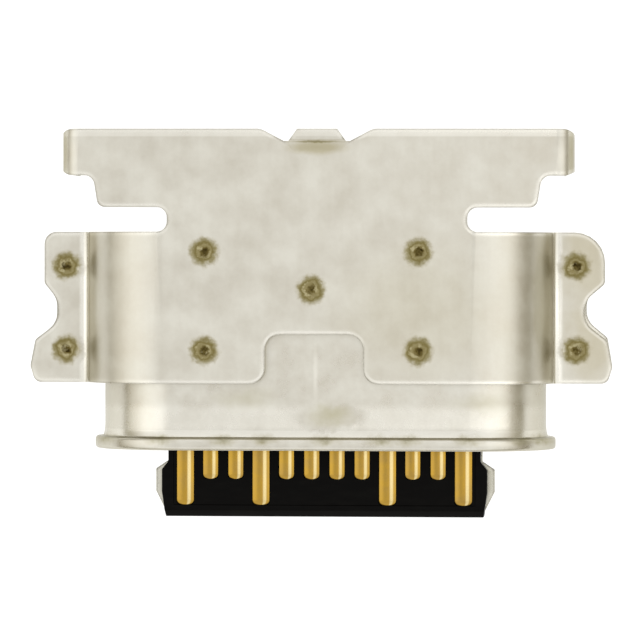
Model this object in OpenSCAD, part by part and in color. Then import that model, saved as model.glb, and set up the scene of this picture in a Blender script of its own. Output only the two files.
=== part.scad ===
/*
  USB-C socket for sinking into a board cut-out.
  The drawn front shell carries a flange and stops short of the tongue's tip, so
  that the device's own wall forms the mouth. A folded top cover and a lower
  bracket clasp the shell, and their ears are welded on top of each other.
  +X runs across the socket, +Y away from the plug and +Z up from the board.
  The origin is the centre of the opening, in the plane of the flange's front face.
*/

/* [Port] */
// Width of the oval opening
port_w = 8.34; // [8.2:0.02:8.6]
// Height of the oval opening
port_h = 2.56; // [2.5:0.02:2.8]
// Depth from the flange's front face to the back wall
port_depth = 3.7; // [3.5:0.05:3.9]

/* [Front shell] */
// Wall of the drawn shell
shell_t = 0.2; // [0.15:0.01:0.25]
// Thickness of the housing's base, from the back wall to the shell's rear end
base_t = 0.52; // [0.5:0.01:0.7]
// How far the flange stands out of the shell's wall
flange_lip = 0.19; // [0.15:0.01:0.35]
// Thickness of the flange
flange_t = 0.24; // [0.18:0.01:0.35]
// Hollow radius between the flange and the wall
flange_fillet = 0.08; // [0.05:0.01:0.2]
// Rounding of the flange's rim and of the mouth
flange_round = 0.06; // [0.02:0.01:0.08]

/* [Folded sheets] */
// Sheet of the top cover and the lower bracket
sheet_t = 0.2; // [0.15:0.01:0.25]
// Side play between the shell and the folded sheets
wrap_gap = 0.11; // [0.09:0.01:0.15]
// How far the folded sheets sit off the middle, within that play
sheet_shift = -0.07; // [-0.08:0.01:0]
// Inside radius of the ears' folds
ear_fold_r = 0.14; // [0.1:0.01:0.15]
// Height of the board's top face above the port's centre
board_z = 0.1; // [0:0.02:0.2]
// Front edge of the part of the sheets that clasps the shell
band_front = 1.3; // [1.1:0.05:1.5]
// How far that part reaches past the shell's rear end
band_over = 0.05; // [0.02:0.01:0.1]

/* [Ears] */
// Half the width over the ears' front lobes
front_lobe_x = 5.75; // [5.65:0.01:6]
// Reach of the left ear's rear lobe from the middle
left_lobe_x = 5.47; // [5.42:0.01:5.75]
// Reach of the right ear's rear lobe from the middle
right_lobe_x = 5.6; // [5.42:0.01:5.75]
// Half the width over the floors of the bays between the lobes
bay_x = 5.2; // [5.15:0.01:5.25]
// Distance of the bays' middle from the front face
bay_y = 2.7; // [2.64:0.01:2.76]
// Half the length of a bay at its mouth
bay_mouth = 0.56; // [0.5:0.01:0.62]
// Half the length of a bay's floor
bay_floor = 0.22; // [0.2:0.01:0.26]
// Hollow radius of a bay
bay_r = 0.4; // [0.3:0.01:0.45]
// How far the lower ears stand out of the upper ones in the bays
bay_step = 0.04; // [0.02:0.01:0.06]
// How far the lower right ear's bay sits behind the upper one's
bay_slip = 0.06; // [0:0.01:0.08]
// Corner radius of the left ear's rear lobe
left_lobe_r = 0.24; // [0.1:0.02:0.4]
// Corner radius of the right ear's rear lobe
right_lobe_r = 0.6; // [0.4:0.01:0.62]
// Corner radius of the front lobes
front_lobe_r = 0.16; // [0.1:0.01:0.25]
// How far the front lobes narrow towards the front edge
lobe_lean = 0.1; // [0.04:0.01:0.14]
// Rounding of the lobes at the bays
lobe_nose_r = 0.12; // [0.06:0.01:0.16]

/* [Cover] */
// Half the width of the neck between the two slots
neck_x = 2.93; // [2.8:0.01:2.98]
// Width of the slots
slot_w = 0.48; // [0.44:0.01:0.52]
// Corner radius of the slots' inner ends
slot_r = 0.2; // [0.15:0.01:0.22]
// Half the width of the yoke at its front edge
yoke_x = 4.28; // [4.2:0.01:4.4]
// How much wider each side of the yoke is at the wings
yoke_flare = 0.1; // [0.04:0.01:0.14]
// Corner radius of the yoke's front corners
yoke_r = 0.16; // [0.1:0.01:0.2]
// Hollow radius between the yoke and the wings
armpit_r = 0.2; // [0.1:0.01:0.25]
// Length of the yoke between the slots and the wings
yoke_len = 0.62; // [0.56:0.01:0.7]
// Half the width over the two legs
wing_x = 5.0; // [4.96:0.01:5.15]
// Length of the wings
wing_len = 0.91; // [0.86:0.01:1]
// Inside radius of the folds above the legs
leg_fold_r = 0.15; // [0.1:0.01:0.16]
// Half the width of the bay in the cover's front edge
notch_x = 0.96; // [0.8:0.02:1.1]
// Depth of that bay
notch_depth = 0.97; // [0.8:0.01:1.1]
// How far the bay sits off the middle
notch_shift = -0.05; // [-0.1:0.01:0]
// Rounding of that bay's corners
notch_r = 0.3; // [0.2:0.01:0.35]

/* [Locking tab] */
// Half the width of the relief beside the tab, at the rear edge
relief_x = 1.1; // [1.04:0.01:1.16]
// Half the width of the relief at its floor
relief_floor = 0.65; // [0.6:0.01:0.68]
// Depth of the relief
relief_depth = 0.24; // [0.2:0.01:0.26]
// Rounding where the relief meets the rear edge
relief_r = 0.3; // [0.2:0.01:0.35]
// Half the width of the tab at its root
tab_root = 0.56; // [0.5:0.01:0.6]
// Half the width of the slope where it leaves the flat sheet
tab_bend_x = 0.42; // [0.38:0.01:0.46]
// Half the width of the tab at its end
tab_end = 0.39; // [0.34:0.01:0.44]
// How far the tab is set down behind the housing
tab_drop = 0.18; // [0.14:0.01:0.2]
// Length of the slope that sets the tab down
tab_slope = 0.22; // [0.18:0.01:0.25]

/* [Welds] */
// Radius of a weld spot
weld_r = 0.27; // [0.2:0.01:0.3]
// Radius of the crater in its middle
crater_r = 0.09; // [0.06:0.01:0.12]
// Depth of a weld spot's dish, and of the crater below it
weld_depth = 0.03; // [0.02:0.005:0.05]
// Half the distance across between the cover's outer weld spots
weld_x = 2.09; // [1.9:0.02:2.2]
// How far the cover's pattern of weld spots sits off its middle
weld_shift = -0.11; // [-0.16:0.01:0]
// Distance of the front weld spots from the front face
weld_front = 1.95; // [1.85:0.02:2.05]
// Distance of the middle weld spot from the front face
weld_mid = 3.14; // [3:0.02:3.2]
// Distance of the rear weld spots from the front face
weld_rear = 3.88; // [3.7:0.02:3.95]
// Half the distance across between the ears' weld spots
ear_weld_x = 5.04; // [5.02:0.01:5.06]
// Distance of the ears' rear weld spots from the front face
ear_weld_rear = 3.6; // [3.5:0.02:3.7]

/* [Tongue] */
// How far the tongue stands out of the flange's front face
tongue_out = 1.36; // [1.3:0.02:1.5]
// Thickness of the tongue
tongue_t = 0.7; // [0.66:0.01:0.76]
// How far the mid plate stands out of the moulded sides
plate_proud = 0.14; // [0.1:0.01:0.18]
// The same at the tip and in the latch recesses
recess_proud = 0.03; // [0.01:0.01:0.06]
// Thickness of the moulded nose in front of the contacts
nose_t = 0.24; // [0.2:0.01:0.3]
// Width of the moulded rails beside the contacts
rail_w = 0.24; // [0.2:0.01:0.28]
// Moulding between the outermost contacts and the rails
bed_gap = 0.05; // [0.03:0.01:0.08]
// Chamfer of the nose
nose_chamfer = 0.14; // [0.08:0.01:0.2]

/* [Mid plate] */
// Thickness of the mid plate
plate_t = 0.12; // [0.1:0.01:0.16]
// Distance from the tongue's tip to the plate's front edge
plate_back = 0.14; // [0.1:0.01:0.18]
// Depth of the latch recesses in its sides
latch_depth = 0.24; // [0.16:0.01:0.26]
// Distance from the tongue's tip to the recesses
latch_front = 1.1; // [1:0.01:1.2]
// Length of the recesses
latch_len = 1.2; // [1:0.05:1.3]
// Length of the slopes at the recesses' ends
latch_ramp = 0.16; // [0.1:0.01:0.2]
// How much narrower each side is at the tip
tip_taper = 0.18; // [0.12:0.01:0.22]
// Length of that taper
taper_len = 0.5; // [0.4:0.01:0.6]

// How far the plate reaches into the housing's base
plate_tail = 0.3; // [0.2:0.01:0.4]

/* [Root and housing] */
// Length of the thick root in front of the back wall
root_len = 0.75; // [0.6:0.05:0.9]
// Height of the root with its ground collars
root_h = 1.26; // [1.2:0.01:1.4]
// Width of the root with its ground collars
root_w = 6.4; // [6.3:0.02:6.5]
// Sheet of the ground collars
collar_t = 0.1; // [0.08:0.01:0.12]
// Play between the housing's base and the shell
base_gap = 0.02; // [0.01:0.005:0.04]
// Half the width of the housing behind the shell
block_x = 2.42; // [2.36:0.01:2.5]
// Length of the housing behind the shell, above the tails
block_len = 0.73; // [0.7:0.01:0.8]
// Play between the housing's roof and the locking tab
lock_gap = 0.02; // [0.01:0.005:0.03]
// Distance of the housing's step behind the shell's rear end
step_back = 0.16; // [0.12:0.01:0.2]
// Thickness of the roof over the tails
roof_t = 0.53; // [0.45:0.01:0.6]
// Moulding over the lower row where it leaves the housing
step_cover = 0.14; // [0.1:0.01:0.18]
// Depth of the housing's rear part below the board's top face
sink = 0.7; // [0.6:0.01:0.8]

/* [Contacts] */
// Contacts in each row
contact_count = 12;
// Pitch of the contacts on the tongue
contact_pitch = 0.5; // [0.48:0.005:0.505]
// Pitch of the tails
tail_pitch = 0.4; // [0.36:0.01:0.41]
// Strip of the contacts
contact_t = 0.12; // [0.1:0.01:0.15]
// Width of a signal contact on the tongue
signal_w = 0.32; // [0.26:0.01:0.34]
// Width of a power or ground contact on the tongue
power_w = 0.36; // [0.3:0.01:0.38]
// How much further back the signal contacts start
late_mate = 0.51; // [0.4:0.01:0.6]
// How far the contacts stand proud of the tongue
contact_proud = 0.02; // [0.01:0.005:0.03]
// Corner radius of the contacts' front ends
contact_r = 0.08; // [0.03:0.01:0.1]
// Length of the contacts' slopes in the housing
rise_len = 0.3; // [0.24:0.01:0.34]
// Distance from the back wall to the upper row's slope
upper_back = 0.2; // [0.16:0.01:0.3]
// Distance from the housing's step to the lower row's slope
lower_back = 0.08; // [0.04:0.01:0.12]
// Distance from the back wall to the end of the contacts' narrowing to the tails' pitch
jog_back = 0.05; // [0.02:0.01:0.1]
// Length of the slope from the upper row's level down to its feet
fall_len = 0.16; // [0.1:0.01:0.2]
// Width of a tail
tail_w = 0.2; // [0.16:0.01:0.24]
// Length of the feet that lie on the board
foot_len = 0.45; // [0.35:0.01:0.5]
// Distance of the upper row's feet from the cover's rear edge
foot_back = 0.23; // [0.18:0.01:0.3]
// Length of the lower row's tails behind the housing
front_tail = 0.4; // [0.3:0.01:0.42]
// Height at which the upper row leaves the housing, above the board
tail_exit = 0.4; // [0.38:0.01:0.46]

/* [Hidden] */
$fn = 48;
// Steps of a rounded corner
CORNER_STEPS = 6;
// Long contacts of each row, which carry ground and power
POWER = [0, 3, 8, 11];
ROW = [for (i = [0 : contact_count - 1]) i];
function two_digits(i) = str(i < 9 ? "0" : "", i + 1);

// Reach of the cutting shapes past what they cut
over = 1;
// Angle by which two bends that meet overlap, so that they always fuse
seam = 1;

// Half the straight length of the oval, and its inner and outer end radii
oval_a = (port_w - port_h) / 2;
shell_ri = port_h / 2;
shell_ro = shell_ri + shell_t;
// The same for the folded sheets
wrap_a = oval_a + wrap_gap;
wrap_ro = shell_ro + sheet_t;

// Rear ends of the shell, the band, the slots, the yoke and the cover
shell_len = port_depth + base_t;
band_rear = shell_len + band_over;
yoke_front = band_rear + slot_w;
wing_front = yoke_front + yoke_len;
cover_rear = wing_front + wing_len;

// Heights of the ears, the lower one's underside being the board's top face
lower_ear_top = board_z + sheet_t;
upper_ear_top = lower_ear_top + sheet_t;
ear_fold_ro = ear_fold_r + sheet_t;
// Fold between the cover's band and its ear: its centre, and the angle at which the arcs meet
cover_fold_z = upper_ear_top + ear_fold_r;
cover_fold_x = wrap_a + sqrt(pow(wrap_ro + ear_fold_r, 2) - pow(cover_fold_z, 2));
cover_fold_angle = atan2(cover_fold_z, cover_fold_x - wrap_a);
// The same for the bracket
bracket_fold_z = board_z - ear_fold_r;
bracket_fold_x = wrap_a + sqrt(pow(wrap_ro + ear_fold_r, 2) - pow(bracket_fold_z, 2));
bracket_fold_angle = atan2(bracket_fold_z, bracket_fold_x - wrap_a);

// Cover
leg_fold_ro = leg_fold_r + sheet_t;
leg_fold_x = wing_x - leg_fold_ro;
tab_foot = cover_rear - relief_depth;
tab_bend = tab_foot - tab_slope;

// Tongue and mid plate
tip_y = -tongue_out;
bed_front = tip_y + nose_t;
row_x = (contact_count - 1) / 2 * contact_pitch + power_w / 2;
bed_x = row_x + bed_gap;
mould_x = bed_x + rail_w;
plate_x = mould_x + plate_proud;
tongue_w = 2 * plate_x;
plate_rear = port_depth + plate_tail;
latch_y = tip_y + latch_front;

// Root and housing
root_front = port_depth - root_len;
core_x = root_w / 2 - collar_t;
core_z = root_h / 2 - collar_t;
base_r = shell_ri - base_gap;
step_y = shell_len + step_back;
step_z = board_z + contact_t + step_cover;
block_rear = shell_len + block_len;
roof_rear = tab_bend - lock_gap;

// Contacts: heights of the strip's middle, and the path of each row's tails
contact_mid = tongue_t / 2 + contact_proud - contact_t / 2;
foot_mid = board_z + contact_t / 2;
exit_mid = foot_mid + tail_exit;
jog_rear = port_depth + jog_back;
upper_rise = port_depth + upper_back;
upper_level = upper_rise + rise_len;
upper_end = cover_rear - foot_back;
upper_foot = upper_end - foot_len;
upper_fall = upper_foot - fall_len;
lower_rise = step_y + lower_back;
lower_level = lower_rise + rise_len;
lower_end = block_rear + front_tail;

// Extrudes an outline drawn in X and Z along Y
module along_y(y0, y1) {
  translate([0, y1, 0]) rotate([90, 0, 0]) linear_extrude(y1 - y0) children();
}

// Extrudes an outline drawn in Y and Z along X, centred on x
module along_x(x, width) {
  translate([x - width / 2, 0, 0]) rotate([90, 0, 90]) linear_extrude(width) children();
}

// Draws its children on both sides of the middle
module both_sides() {
  children();
  mirror([1, 0, 0]) children();
}

// Rectangle between two corners
module between(low, high) {
  translate(low) square(high - low);
}

// Box between two corners
module block(low, high) {
  translate(low) cube(high - low);
}

// Oval with straight half length a and end radius r
module oval(a, r) {
  between([-a, -r], [a, r]);
  both_sides() translate([a, 0]) circle(r);
}

// Points of an arc about a centre
function arc(centre, r, from, to) = [for (i = [0 : CORNER_STEPS])
  let (a = from + (to - from) * i / CORNER_STEPS) centre + r * [cos(a), sin(a)]];

// Outline whose points are [x, y], or [x, y, radius] where the corner is rounded
function unit(v) = v / norm(v);
function flat(p) = [p[0], p[1]];
function corner(before, at, after) = len(at) < 3 ? [at] : let (
  b = flat(at), u = unit(flat(before) - b), v = unit(flat(after) - b), half = acos(u * v) / 2,
  centre = b + unit(u + v) * at[2] / sin(half), out = b + u * at[2] / tan(half) - centre,
  start = atan2(out[1], out[0]), turn = (180 - 2 * half) * sign(u[1] * v[0] - u[0] * v[1]))
  arc(centre, at[2], start, start + turn);
function rounded(p) = [for (i = [0 : len(p) - 1])
  each corner(p[(i + len(p) - 1) % len(p)], p[i], p[(i + 1) % len(p)])];
function flipped(p) = [for (i = [len(p) - 1 : -1 : 0])
  [for (k = [0 : len(p[i]) - 1]) k == 0 ? -p[i][0] : p[i][k]]];
function symmetric(p) = concat(p, flipped(p));

// Closed outline of a strip of half thickness h that follows a path
function normal_of(a, b) = let (d = unit(b - a)) [-d[1], d[0]];
function mitre(p, i) =
  i == 0 ? normal_of(p[0], p[1])
  : i == len(p) - 1 ? normal_of(p[i - 1], p[i])
  : let (m = normal_of(p[i - 1], p[i]), n = normal_of(p[i], p[i + 1])) (m + n) / (1 + m * n);
function strip(p, h) = concat(
  [for (i = [0 : len(p) - 1]) p[i] + h * mitre(p, i)],
  [for (i = [len(p) - 1 : -1 : 0]) p[i] - h * mitre(p, i)]);

// Flat ring sector, for a sheet bent about a centre
module bend(centre, ri, ro, from, to) {
  reach = 2 * ro;
  translate(centre) intersection() {
    difference() {
      circle(ro);
      circle(ri);
    }
    polygon([[0, 0], reach * [cos(from), sin(from)],
             reach * [cos((from + to) / 2), sin((from + to) / 2)], reach * [cos(to), sin(to)]]);
  }
}

// Weld spot's dish with its crater, sunk into a face at z = 0
module weld_dish() {
  rotate_extrude() polygon([[0, -2 * weld_depth], [crater_r, -2 * weld_depth], [crater_r, -weld_depth],
    [weld_r - weld_depth, -weld_depth], [weld_r, 0], [weld_r, weld_depth], [0, weld_depth]]);
}

// Wall of the drawn shell as [distance from the oval's spine, Y]
function shell_wall() = let (rim = shell_ro + flange_lip - flange_round) concat(
  arc([shell_ri + flange_round, flange_round], flange_round, 180, 270),
  arc([rim, flange_round], flange_round, 270, 360),
  arc([rim, flange_t - flange_round], flange_round, 0, 90),
  arc([shell_ro + flange_fillet, flange_t + flange_fillet], flange_fillet, 270, 180),
  [[shell_ro, shell_len], [shell_ri, shell_len]]);

// Drawn steel shell: an oval tube with a flange at its mouth
module front_shell() color("#cfcbbd") {
  wall = shell_wall();
  both_sides() translate([oval_a, 0, 0]) rotate([-90, 0, 0]) rotate([0, 0, -90])
    rotate_extrude(angle = 180) polygon(wall);
  for (side = [0, 1]) mirror([0, 0, side])
    along_x(0, 2 * oval_a) polygon([for (p = wall) [p[1], p[0]]]);
}

// Outline of the right-hand ear, from the end of its fold at x0 to its rear lobe at lobe_x
function ear_outline(x0, floor_x, mid_y, lobe_x, lobe_r) = rounded([
  [x0, band_front], [front_lobe_x - lobe_lean, band_front, front_lobe_r],
  [front_lobe_x, band_front + 2 * front_lobe_r, front_lobe_r],
  [front_lobe_x - lobe_lean, mid_y - bay_mouth, lobe_nose_r],
  [floor_x, mid_y - bay_floor, bay_r], [floor_x, mid_y + bay_floor, bay_r],
  [lobe_x, mid_y + bay_mouth, lobe_nose_r], [lobe_x, band_rear, lobe_r], [x0, band_rear]]);

// Both ears of a folded sheet, resting on z
module ears(x0, floor_x, right_slip, z) {
  translate([0, 0, z]) linear_extrude(sheet_t) {
    polygon(ear_outline(x0, floor_x, bay_y + right_slip, right_lobe_x, right_lobe_r));
    polygon(flipped(ear_outline(x0, floor_x, bay_y, left_lobe_x, left_lobe_r)));
  }
}

// Section of the cover's band, from fold to fold
module cover_band() {
  between([-wrap_a, shell_ro], [wrap_a, wrap_ro]);
  both_sides() {
    bend([wrap_a, 0], shell_ro, wrap_ro, cover_fold_angle, 90);
    bend([cover_fold_x, cover_fold_z], ear_fold_r, ear_fold_ro, 180 + cover_fold_angle - seam, 270);
  }
}

// Section of the bracket's band, from fold to fold
module bracket_band() {
  between([-wrap_a, -wrap_ro], [wrap_a, -shell_ro]);
  both_sides() {
    bend([wrap_a, 0], shell_ro, wrap_ro, -90, bracket_fold_angle);
    bend([bracket_fold_x, bracket_fold_z], ear_fold_r, ear_fold_ro, 90, 180 + bracket_fold_angle + seam);
  }
}

// Bay in the cover's front edge, flared at its mouth
function front_bay() = let (mouth = band_front + notch_r, floor_y = band_front + notch_depth)
  symmetric(concat([[notch_x + notch_r, band_front - over]],
  arc([notch_x + notch_r, mouth], notch_r, 270, 180),
  arc([notch_x - notch_r, floor_y - notch_r], notch_r, 0, 90)));

// Flat part of the cover behind the band: neck, yoke and wings up to their folds
function yoke_outline() = let (side = rounded([
    [neck_x + slot_r, band_rear], [neck_x, band_rear + slot_r], [neck_x, yoke_front, slot_r],
    [yoke_x, yoke_front, yoke_r], [yoke_x + yoke_flare, wing_front, armpit_r],
    [leg_fold_x, wing_front], [leg_fold_x, cover_rear],
    [relief_x, cover_rear, relief_r], [relief_floor, tab_foot], [tab_bend_x, tab_bend]]))
  symmetric(concat(arc([neck_x + slot_r, band_rear + slot_r], slot_r, 270, 180),
                   [for (i = [2 : len(side) - 1]) side[i]]));

// Fold and leg at the right-hand wing
module leg_section() {
  bend([leg_fold_x, wrap_ro - leg_fold_ro], leg_fold_r, leg_fold_ro, 0, 90);
  between([wing_x - sheet_t, board_z], [wing_x, wrap_ro - leg_fold_ro]);
}

// Tab that is set down behind the housing
module locking_tab() {
  high = wrap_ro - sheet_t / 2;
  low = high - tab_drop;
  intersection() {
    along_x(0, 2 * relief_floor) polygon(strip([
      [tab_bend - sheet_t, high], [tab_bend, high], [tab_foot, low], [cover_rear, low]], sheet_t / 2));
    linear_extrude(wrap_ro) polygon(symmetric([
      [tab_bend_x, tab_bend - sheet_t], [tab_bend_x, tab_bend], [relief_floor, tab_foot],
      [tab_root, tab_foot], [tab_end, cover_rear]]));
  }
}

// Folded top cover: band, ears, neck, yoke, wings with legs, and locking tab
module top_cover() color("#d6d2c4") {
  translate([sheet_shift, 0, 0]) difference() {
    union() {
      along_y(band_front, band_rear) cover_band();
      translate([0, 0, shell_ro]) linear_extrude(sheet_t) polygon(yoke_outline());
      both_sides() along_y(wing_front, cover_rear) leg_section();
      locking_tab();
      ears(cover_fold_x, bay_x, 0, lower_ear_top);
    }
    translate([notch_shift, 0, shell_ro - over]) linear_extrude(sheet_t + 2 * over) polygon(front_bay());
    for (x = [-weld_x, weld_x], y = [weld_front, weld_rear])
      translate([weld_shift + x, y, wrap_ro]) weld_dish();
    translate([weld_shift, weld_mid, wrap_ro]) weld_dish();
    for (x = [-ear_weld_x, ear_weld_x], y = [weld_front, ear_weld_rear])
      translate([x, y, upper_ear_top]) weld_dish();
  }
}

// Folded strap below the shell, whose ears carry the cover's
module lower_bracket() color("#c9c5b8") {
  translate([sheet_shift, 0, 0]) difference() {
    union() {
      along_y(band_front, band_rear) bracket_band();
      ears(bracket_fold_x, bay_x + bay_step, bay_slip, board_z);
    }
    for (x = [-weld_x, weld_x], y = [weld_front, weld_rear])
      translate([x, y, -wrap_ro]) mirror([0, 0, 1]) weld_dish();
  }
}

// Side of the tongue from a front to a rear end, drawn in by an inset, and by less at the tip and the recess
function tongue_side(front, inset, recess_inset, rear) = let (recess = plate_x - latch_depth - recess_inset) [
  [plate_x - tip_taper - recess_inset, front], [plate_x - inset, tip_y + taper_len],
  [plate_x - inset, latch_y - latch_ramp], [recess, latch_y], [recess, latch_y + latch_len],
  [plate_x - inset, latch_y + latch_len + latch_ramp], [plate_x - inset, rear]];

// Steel plate between the two rows, with the recesses that the plug's latches catch
module mid_plate() color("#b9b6ab") {
  translate([0, 0, -plate_t / 2]) linear_extrude(plate_t)
    polygon(symmetric(tongue_side(tip_y + plate_back, 0, 0, plate_rear)));
}

// Ground collar over the upper half of the root
module upper_ground_collar() color("#b3b0a6") {
  along_y(root_front, port_depth) difference() {
    between([-root_w / 2, plate_t / 2], [root_w / 2, root_h / 2]);
    between([-core_x, -over], [core_x, core_z]);
  }
}

// Its mirror image below the root
module lower_ground_collar() mirror([0, 0, 1]) upper_ground_collar();

function is_power(i) = len(search(i, POWER)) > 0;
function contact_w(i) = is_power(i) ? power_w : signal_w;
function contact_x(i, pitch) = (i - (contact_count - 1) / 2) * pitch;

// Outline of a contact on the tongue and through the root, up to where it starts to rise
function contact_outline(i, end) = let (
  x = contact_x(i, contact_pitch), t = contact_x(i, tail_pitch), h = contact_w(i) / 2, v = tail_w / 2,
  tip = bed_front + (is_power(i) ? 0 : late_mate)) rounded([
  [x - h, root_front], [x - h, tip, contact_r], [x + h, tip, contact_r], [x + h, root_front],
  [t + v, jog_rear], [t + v, end], [t - v, end], [t - v, jog_rear]]);

// Contact whose strip lies at height z on the tongue and whose tail follows a path
module contact(i, z, path) {
  translate([0, 0, z - contact_t / 2]) linear_extrude(contact_t) polygon(contact_outline(i, path[0][0]));
  along_x(contact_x(i, tail_pitch), tail_w) polygon(strip(concat([[jog_rear, z]], path), contact_t / 2));
}

// Contact of the upper row: it rises in the housing and comes down behind it
module upper_contact(i) color("#c8a43c") {
  contact(i, contact_mid, [[upper_rise, contact_mid], [upper_level, exit_mid], [upper_fall, exit_mid],
                           [upper_foot, foot_mid], [upper_end, foot_mid]]);
}

// Contact of the lower row: it rises in the housing and leaves it flat on the board
module lower_contact(i) color("#c8a43c") {
  contact(i, -contact_mid, [[lower_rise, -contact_mid], [lower_level, foot_mid], [lower_end, foot_mid]]);
}

// Half of the bed, root and base that one row is moulded into, above the mid plate
module housing_half() {
  block([-bed_x, bed_front, plate_t / 2], [bed_x, root_front, tongue_t / 2]);
  block([-core_x, root_front, plate_t / 2], [core_x, port_depth, core_z]);
  intersection() {
    along_y(port_depth, shell_len) oval(oval_a, base_r);
    block([-port_w, port_depth, 0], [port_w, shell_len, port_h]);
  }
}

// Upper moulding with the roof over the tails
module upper_housing() color("#1a1917") {
  difference() {
    union() {
      housing_half();
      block([-block_x, shell_len, 0], [block_x, step_y, shell_ro]);
      block([-block_x, step_y, step_z], [block_x, block_rear, shell_ro]);
      block([-block_x, block_rear, shell_ro - roof_t], [block_x, roof_rear, shell_ro]);
    }
    mid_plate();
    for (i = ROW) upper_contact(i);
  }
}

// Lower moulding, which steps up behind the mid plate to the level of the board
module lower_housing() color("#161513") {
  difference() {
    union() {
      mirror([0, 0, 1]) housing_half();
      block([-block_x, shell_len, board_z - sink], [block_x, step_y, 0]);
      block([-block_x, step_y, board_z - sink], [block_x, block_rear, step_z]);
    }
    mid_plate();
    for (i = ROW) lower_contact(i);
  }
}

// Last moulding: the tongue's nose and its two side rails
module tongue_overmould() color("#12110f") {
  h = tongue_t / 2;
  c = nose_chamfer;
  difference() {
    intersection() {
      along_x(0, tongue_w) polygon([
        [tip_y, -h + c], [tip_y, h - c], [tip_y + c, h], [root_front, h], [root_front, -h], [tip_y + c, -h]]);
      translate([0, 0, -h]) linear_extrude(tongue_t)
        polygon(symmetric(tongue_side(tip_y, plate_proud, recess_proud, root_front)));
    }
    block([-bed_x, bed_front, -over], [bed_x, root_front + over, over]);
    mid_plate();
  }
}

front_shell();
top_cover();
lower_bracket();
mid_plate();
upper_housing();
lower_housing();
tongue_overmould();
upper_ground_collar();
lower_ground_collar();
for (i = ROW) {
  upper_contact(i);
  lower_contact(i);
}
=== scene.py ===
"""USB-C socket: the finished looks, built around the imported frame.

Everything is in the row's frame: +X across the socket, +Y the way the plug goes in, +Z up from the board,
with the origin at the centre of the opening in the flange's front face. Sizes are worked out in millimetres
and turned to metres when a mesh is finished.
"""

import enum
import logging
import math
from dataclasses import dataclass, replace
from typing import Any, Callable, Iterable, Sequence

import bmesh
import bpy
from mathutils import Matrix, Vector


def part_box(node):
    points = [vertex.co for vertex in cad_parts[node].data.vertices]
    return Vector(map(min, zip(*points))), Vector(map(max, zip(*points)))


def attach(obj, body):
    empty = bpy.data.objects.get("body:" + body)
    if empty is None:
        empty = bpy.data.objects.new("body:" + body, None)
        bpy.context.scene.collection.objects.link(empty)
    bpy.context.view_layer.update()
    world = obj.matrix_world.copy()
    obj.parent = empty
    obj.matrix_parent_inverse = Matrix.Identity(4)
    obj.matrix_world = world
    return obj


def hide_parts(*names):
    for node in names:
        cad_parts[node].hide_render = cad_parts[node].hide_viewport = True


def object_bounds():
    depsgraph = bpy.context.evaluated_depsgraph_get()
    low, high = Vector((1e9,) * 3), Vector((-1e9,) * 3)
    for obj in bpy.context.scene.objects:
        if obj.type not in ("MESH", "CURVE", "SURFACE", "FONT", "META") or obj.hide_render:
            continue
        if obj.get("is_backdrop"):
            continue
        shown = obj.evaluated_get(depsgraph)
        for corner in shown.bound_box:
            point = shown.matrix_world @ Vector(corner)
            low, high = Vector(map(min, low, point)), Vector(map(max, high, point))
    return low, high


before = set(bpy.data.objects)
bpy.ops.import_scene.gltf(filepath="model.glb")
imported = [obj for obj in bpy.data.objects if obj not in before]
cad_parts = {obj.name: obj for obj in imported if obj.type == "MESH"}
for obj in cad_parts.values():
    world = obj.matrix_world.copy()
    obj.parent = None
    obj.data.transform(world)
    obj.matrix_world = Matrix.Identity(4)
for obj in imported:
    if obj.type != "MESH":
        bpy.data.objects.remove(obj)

Point = tuple[float, float]
Point3 = tuple[float, float, float]
Colour = tuple[float, float, float, float]
BMesh = bmesh.types.BMesh
Material = bpy.types.Material
Mesh = bpy.types.Mesh
Node = bpy.types.Node
Object = bpy.types.Object
Socket = bpy.types.NodeSocket
Tree = bpy.types.NodeTree

MM = 0.001
ROOT = "root"
WHITE = "#FFFFFF"
FADED = "#B4AC92"  # colour at the outer end of marks and patches, where they cover nothing
PAINTED_HIGHLIGHT = "#E6E3D9"  # colour of the painted highlights on nickel
FLOOR_GAP = 0.02  # keeps the floor clear of the lowest face
SHEET_SHIFT = -0.07  # how far the folded sheets sit aside of the shell
COVER_TOP = 1.68
FROM, TO = ("From Min", "From Max"), ("To Min", "To Max")
log = logging.getLogger("socket")


class Slot(enum.Enum):
    """Material slots of the record."""

    SHELL = "shell_steel"
    COVER = "cover_steel"
    BRACKET = "bracket_steel"
    PLATE = "plate_steel"
    CONTACT = "contact_gold"
    HOUSING = "housing_black"


class Row(enum.Enum):
    """The two rows of contacts, by the side of the tongue that they lie on."""

    UPPER = "a"
    LOWER = "b"


# ---------------------------------------------------------------- small tools


def linear(code: str) -> Colour:
    """Turns an sRGB hex colour into linear RGBA.

    Args:
        code: A hash and six hex digits.

    Returns:
        Linear red, green, blue and an alpha of 1.
    """
    values = [int(code[i : i + 2], 16) / 255 for i in (1, 3, 5)]
    rgb = [v / 12.92 if v <= 0.04045 else ((v + 0.055) / 1.055) ** 2.4 for v in values]
    return (rgb[0], rgb[1], rgb[2], 1.0)


def add_node(tree: Tree, kind: str, inputs: dict | None = None, **settings: Any) -> Node:
    """Adds a node with its settings and links.

    Args:
        tree: The tree that takes the node.
        kind: The node's type name.
        inputs: Socket name or index to a value, or to what is linked to it: a socket, or a node for its first
            output. A tuple of names takes a tuple of these.
        **settings: Attributes of the node.

    Returns:
        The new node.
    """
    node = tree.nodes.new(kind)
    for name, value in settings.items():
        setattr(node, name, value)
    for keys, values in (inputs or {}).items():
        for key, value in zip(keys, values) if isinstance(keys, tuple) else [(keys, values)]:
            if isinstance(value, Node):
                value = value.outputs[0]
            if isinstance(value, Socket):
                tree.links.new(value, node.inputs[key])
            else:
                node.inputs[key].default_value = value
    return node


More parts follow.
